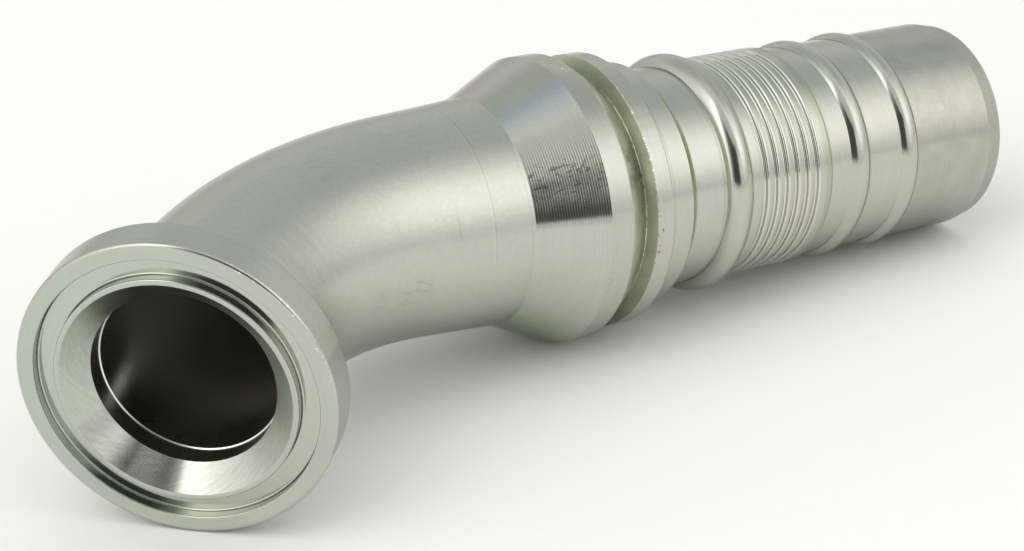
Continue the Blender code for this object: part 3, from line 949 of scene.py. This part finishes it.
def light():
    """A light tent: even walls, two soft sources, a strip and a darker opening.

    A direction's light follows from its compass angle az and its height el, both in degrees.
    """
    world = bpy.data.worlds.new("studio")
    bpy.context.scene.world = world
    world.use_nodes = True
    n = Nodes(world.node_tree)
    out = n.new("ShaderNodeOutputWorld")
    back = n.new("ShaderNodeBackground")
    n.put(out.inputs["Surface"], back.outputs[0])
    x, y, z = n.split(n.vec("NORMALIZE", n.new("ShaderNodeTexCoord").outputs["Generated"]))
    az = n.times(n.math("ARCTAN2", x, y), DEGREES)
    el = n.times(n.math("ARCSINE", z), DEGREES)

    # Walls: even, lower behind the part and lower still by the floor there, and a paler roof
    start = n.math("SUBTRACT", el, n.span(az, 64.0, 84.0, 0.0, 10.0))
    behind = n.times(n.span(start, 22.0, 44.0), n.span(el, 66.0, 84.0, 1.0, 0.0))
    mild = n.span(n.window(az, 22.0, 34.0, 46.0, 60.0), 0.0, 1.0, 0.165, 0.12, smooth=False)
    far_side = n.span(n.math("MULTIPLY_ADD", x, 0.6, y), -0.30, 0.05)
    walls = n.math("SUBTRACT", WALLS, n.times(behind, mild, far_side))
    walls = n.total(walls, n.span(el, 70.0, 88.0, 0.0, 0.10))
    foot = n.times(n.window(az, -75.0, -50.0, 45.0, 70.0), n.span(el, 6.0, 24.0, 0.07, 0.0))
    walls = n.math("SUBTRACT", walls, foot)

    level = n.total(walls, right_source(n, az, el), left_source(n, az, el), strip_source(n, az, el))
    n.put(back.inputs["Strength"], n.times(level, viewer_opening(n, az, el)))
    cool = n.times(n.window(az, -30.0, 10.0, 84.0, 94.0), behind)
    n.put(back.inputs["Color"], n.mix(cool, rgb(1.0, 1.0, 0.99), rgb(0.955, 1.0, 1.0)))


def lamps():
    """Two lamps for the floor alone: the metal only mirrors, and they are hidden from mirrors."""
    kinds = (
        ("overhead", (-0.05, 0.05, 1.5), (-0.05, 0.05, 0.0), 1.4, 3.15),
        ("front", (-0.8, -0.5, 0.8), (-0.12, -0.03, 0.0), 0.7, 1.9),
    )
    for name, place, aim, size, power in kinds:
        lamp = bpy.data.lights.new(name, "AREA")
        lamp.shape, lamp.size, lamp.energy = "SQUARE", size, power
        ob = bpy.data.objects.new(name, lamp)
        ob.location = place
        ob.rotation_euler = (Vector(aim) - Vector(place)).to_track_quat("-Z", "Y").to_euler()
        ob.visible_glossy = False
        bpy.context.scene.collection.objects.link(ob)


# The photograph's view: the camera's place, its compass angle, dip and roll in degrees, and its lens
CAMERA_PLACE = np.array([-0.253403, -0.393942, 0.234292])
CAMERA_AZIMUTH, CAMERA_DIP, CAMERA_ROLL = 31.738, 24.6291, -1.4058
CAMERA_LENS, CAMERA_SENSOR = 88.591, 36.0


def camera():
    """The camera that took the photograph."""
    cam = bpy.data.cameras.new("camera")
    cam.sensor_width = CAMERA_SENSOR
    cam.lens = CAMERA_LENS
    cam.clip_start, cam.clip_end = 0.01, 50.0
    az, dip, roll = (math.radians(a) for a in (CAMERA_AZIMUTH, CAMERA_DIP, CAMERA_ROLL))
    ahead = np.array([math.sin(az) * math.cos(dip), math.cos(az) * math.cos(dip), -math.sin(dip)])
    level = np.array([math.cos(az), -math.sin(az), 0.0])
    over = np.cross(level, ahead)
    right = level * math.cos(roll) + over * math.sin(roll)
    up = over * math.cos(roll) - level * math.sin(roll)
    ob = bpy.data.objects.new("camera", cam)
    rows = np.stack([right, up, -ahead], 1)
    ob.matrix_world = Matrix.Translation(CAMERA_PLACE.tolist()) @ Matrix(rows.tolist()).to_4x4()
    bpy.context.scene.collection.objects.link(ob)
    bpy.context.scene.camera = ob


body()
floor()
light()
lamps()
camera()
bpy.context.scene.view_settings.view_transform = "Standard"
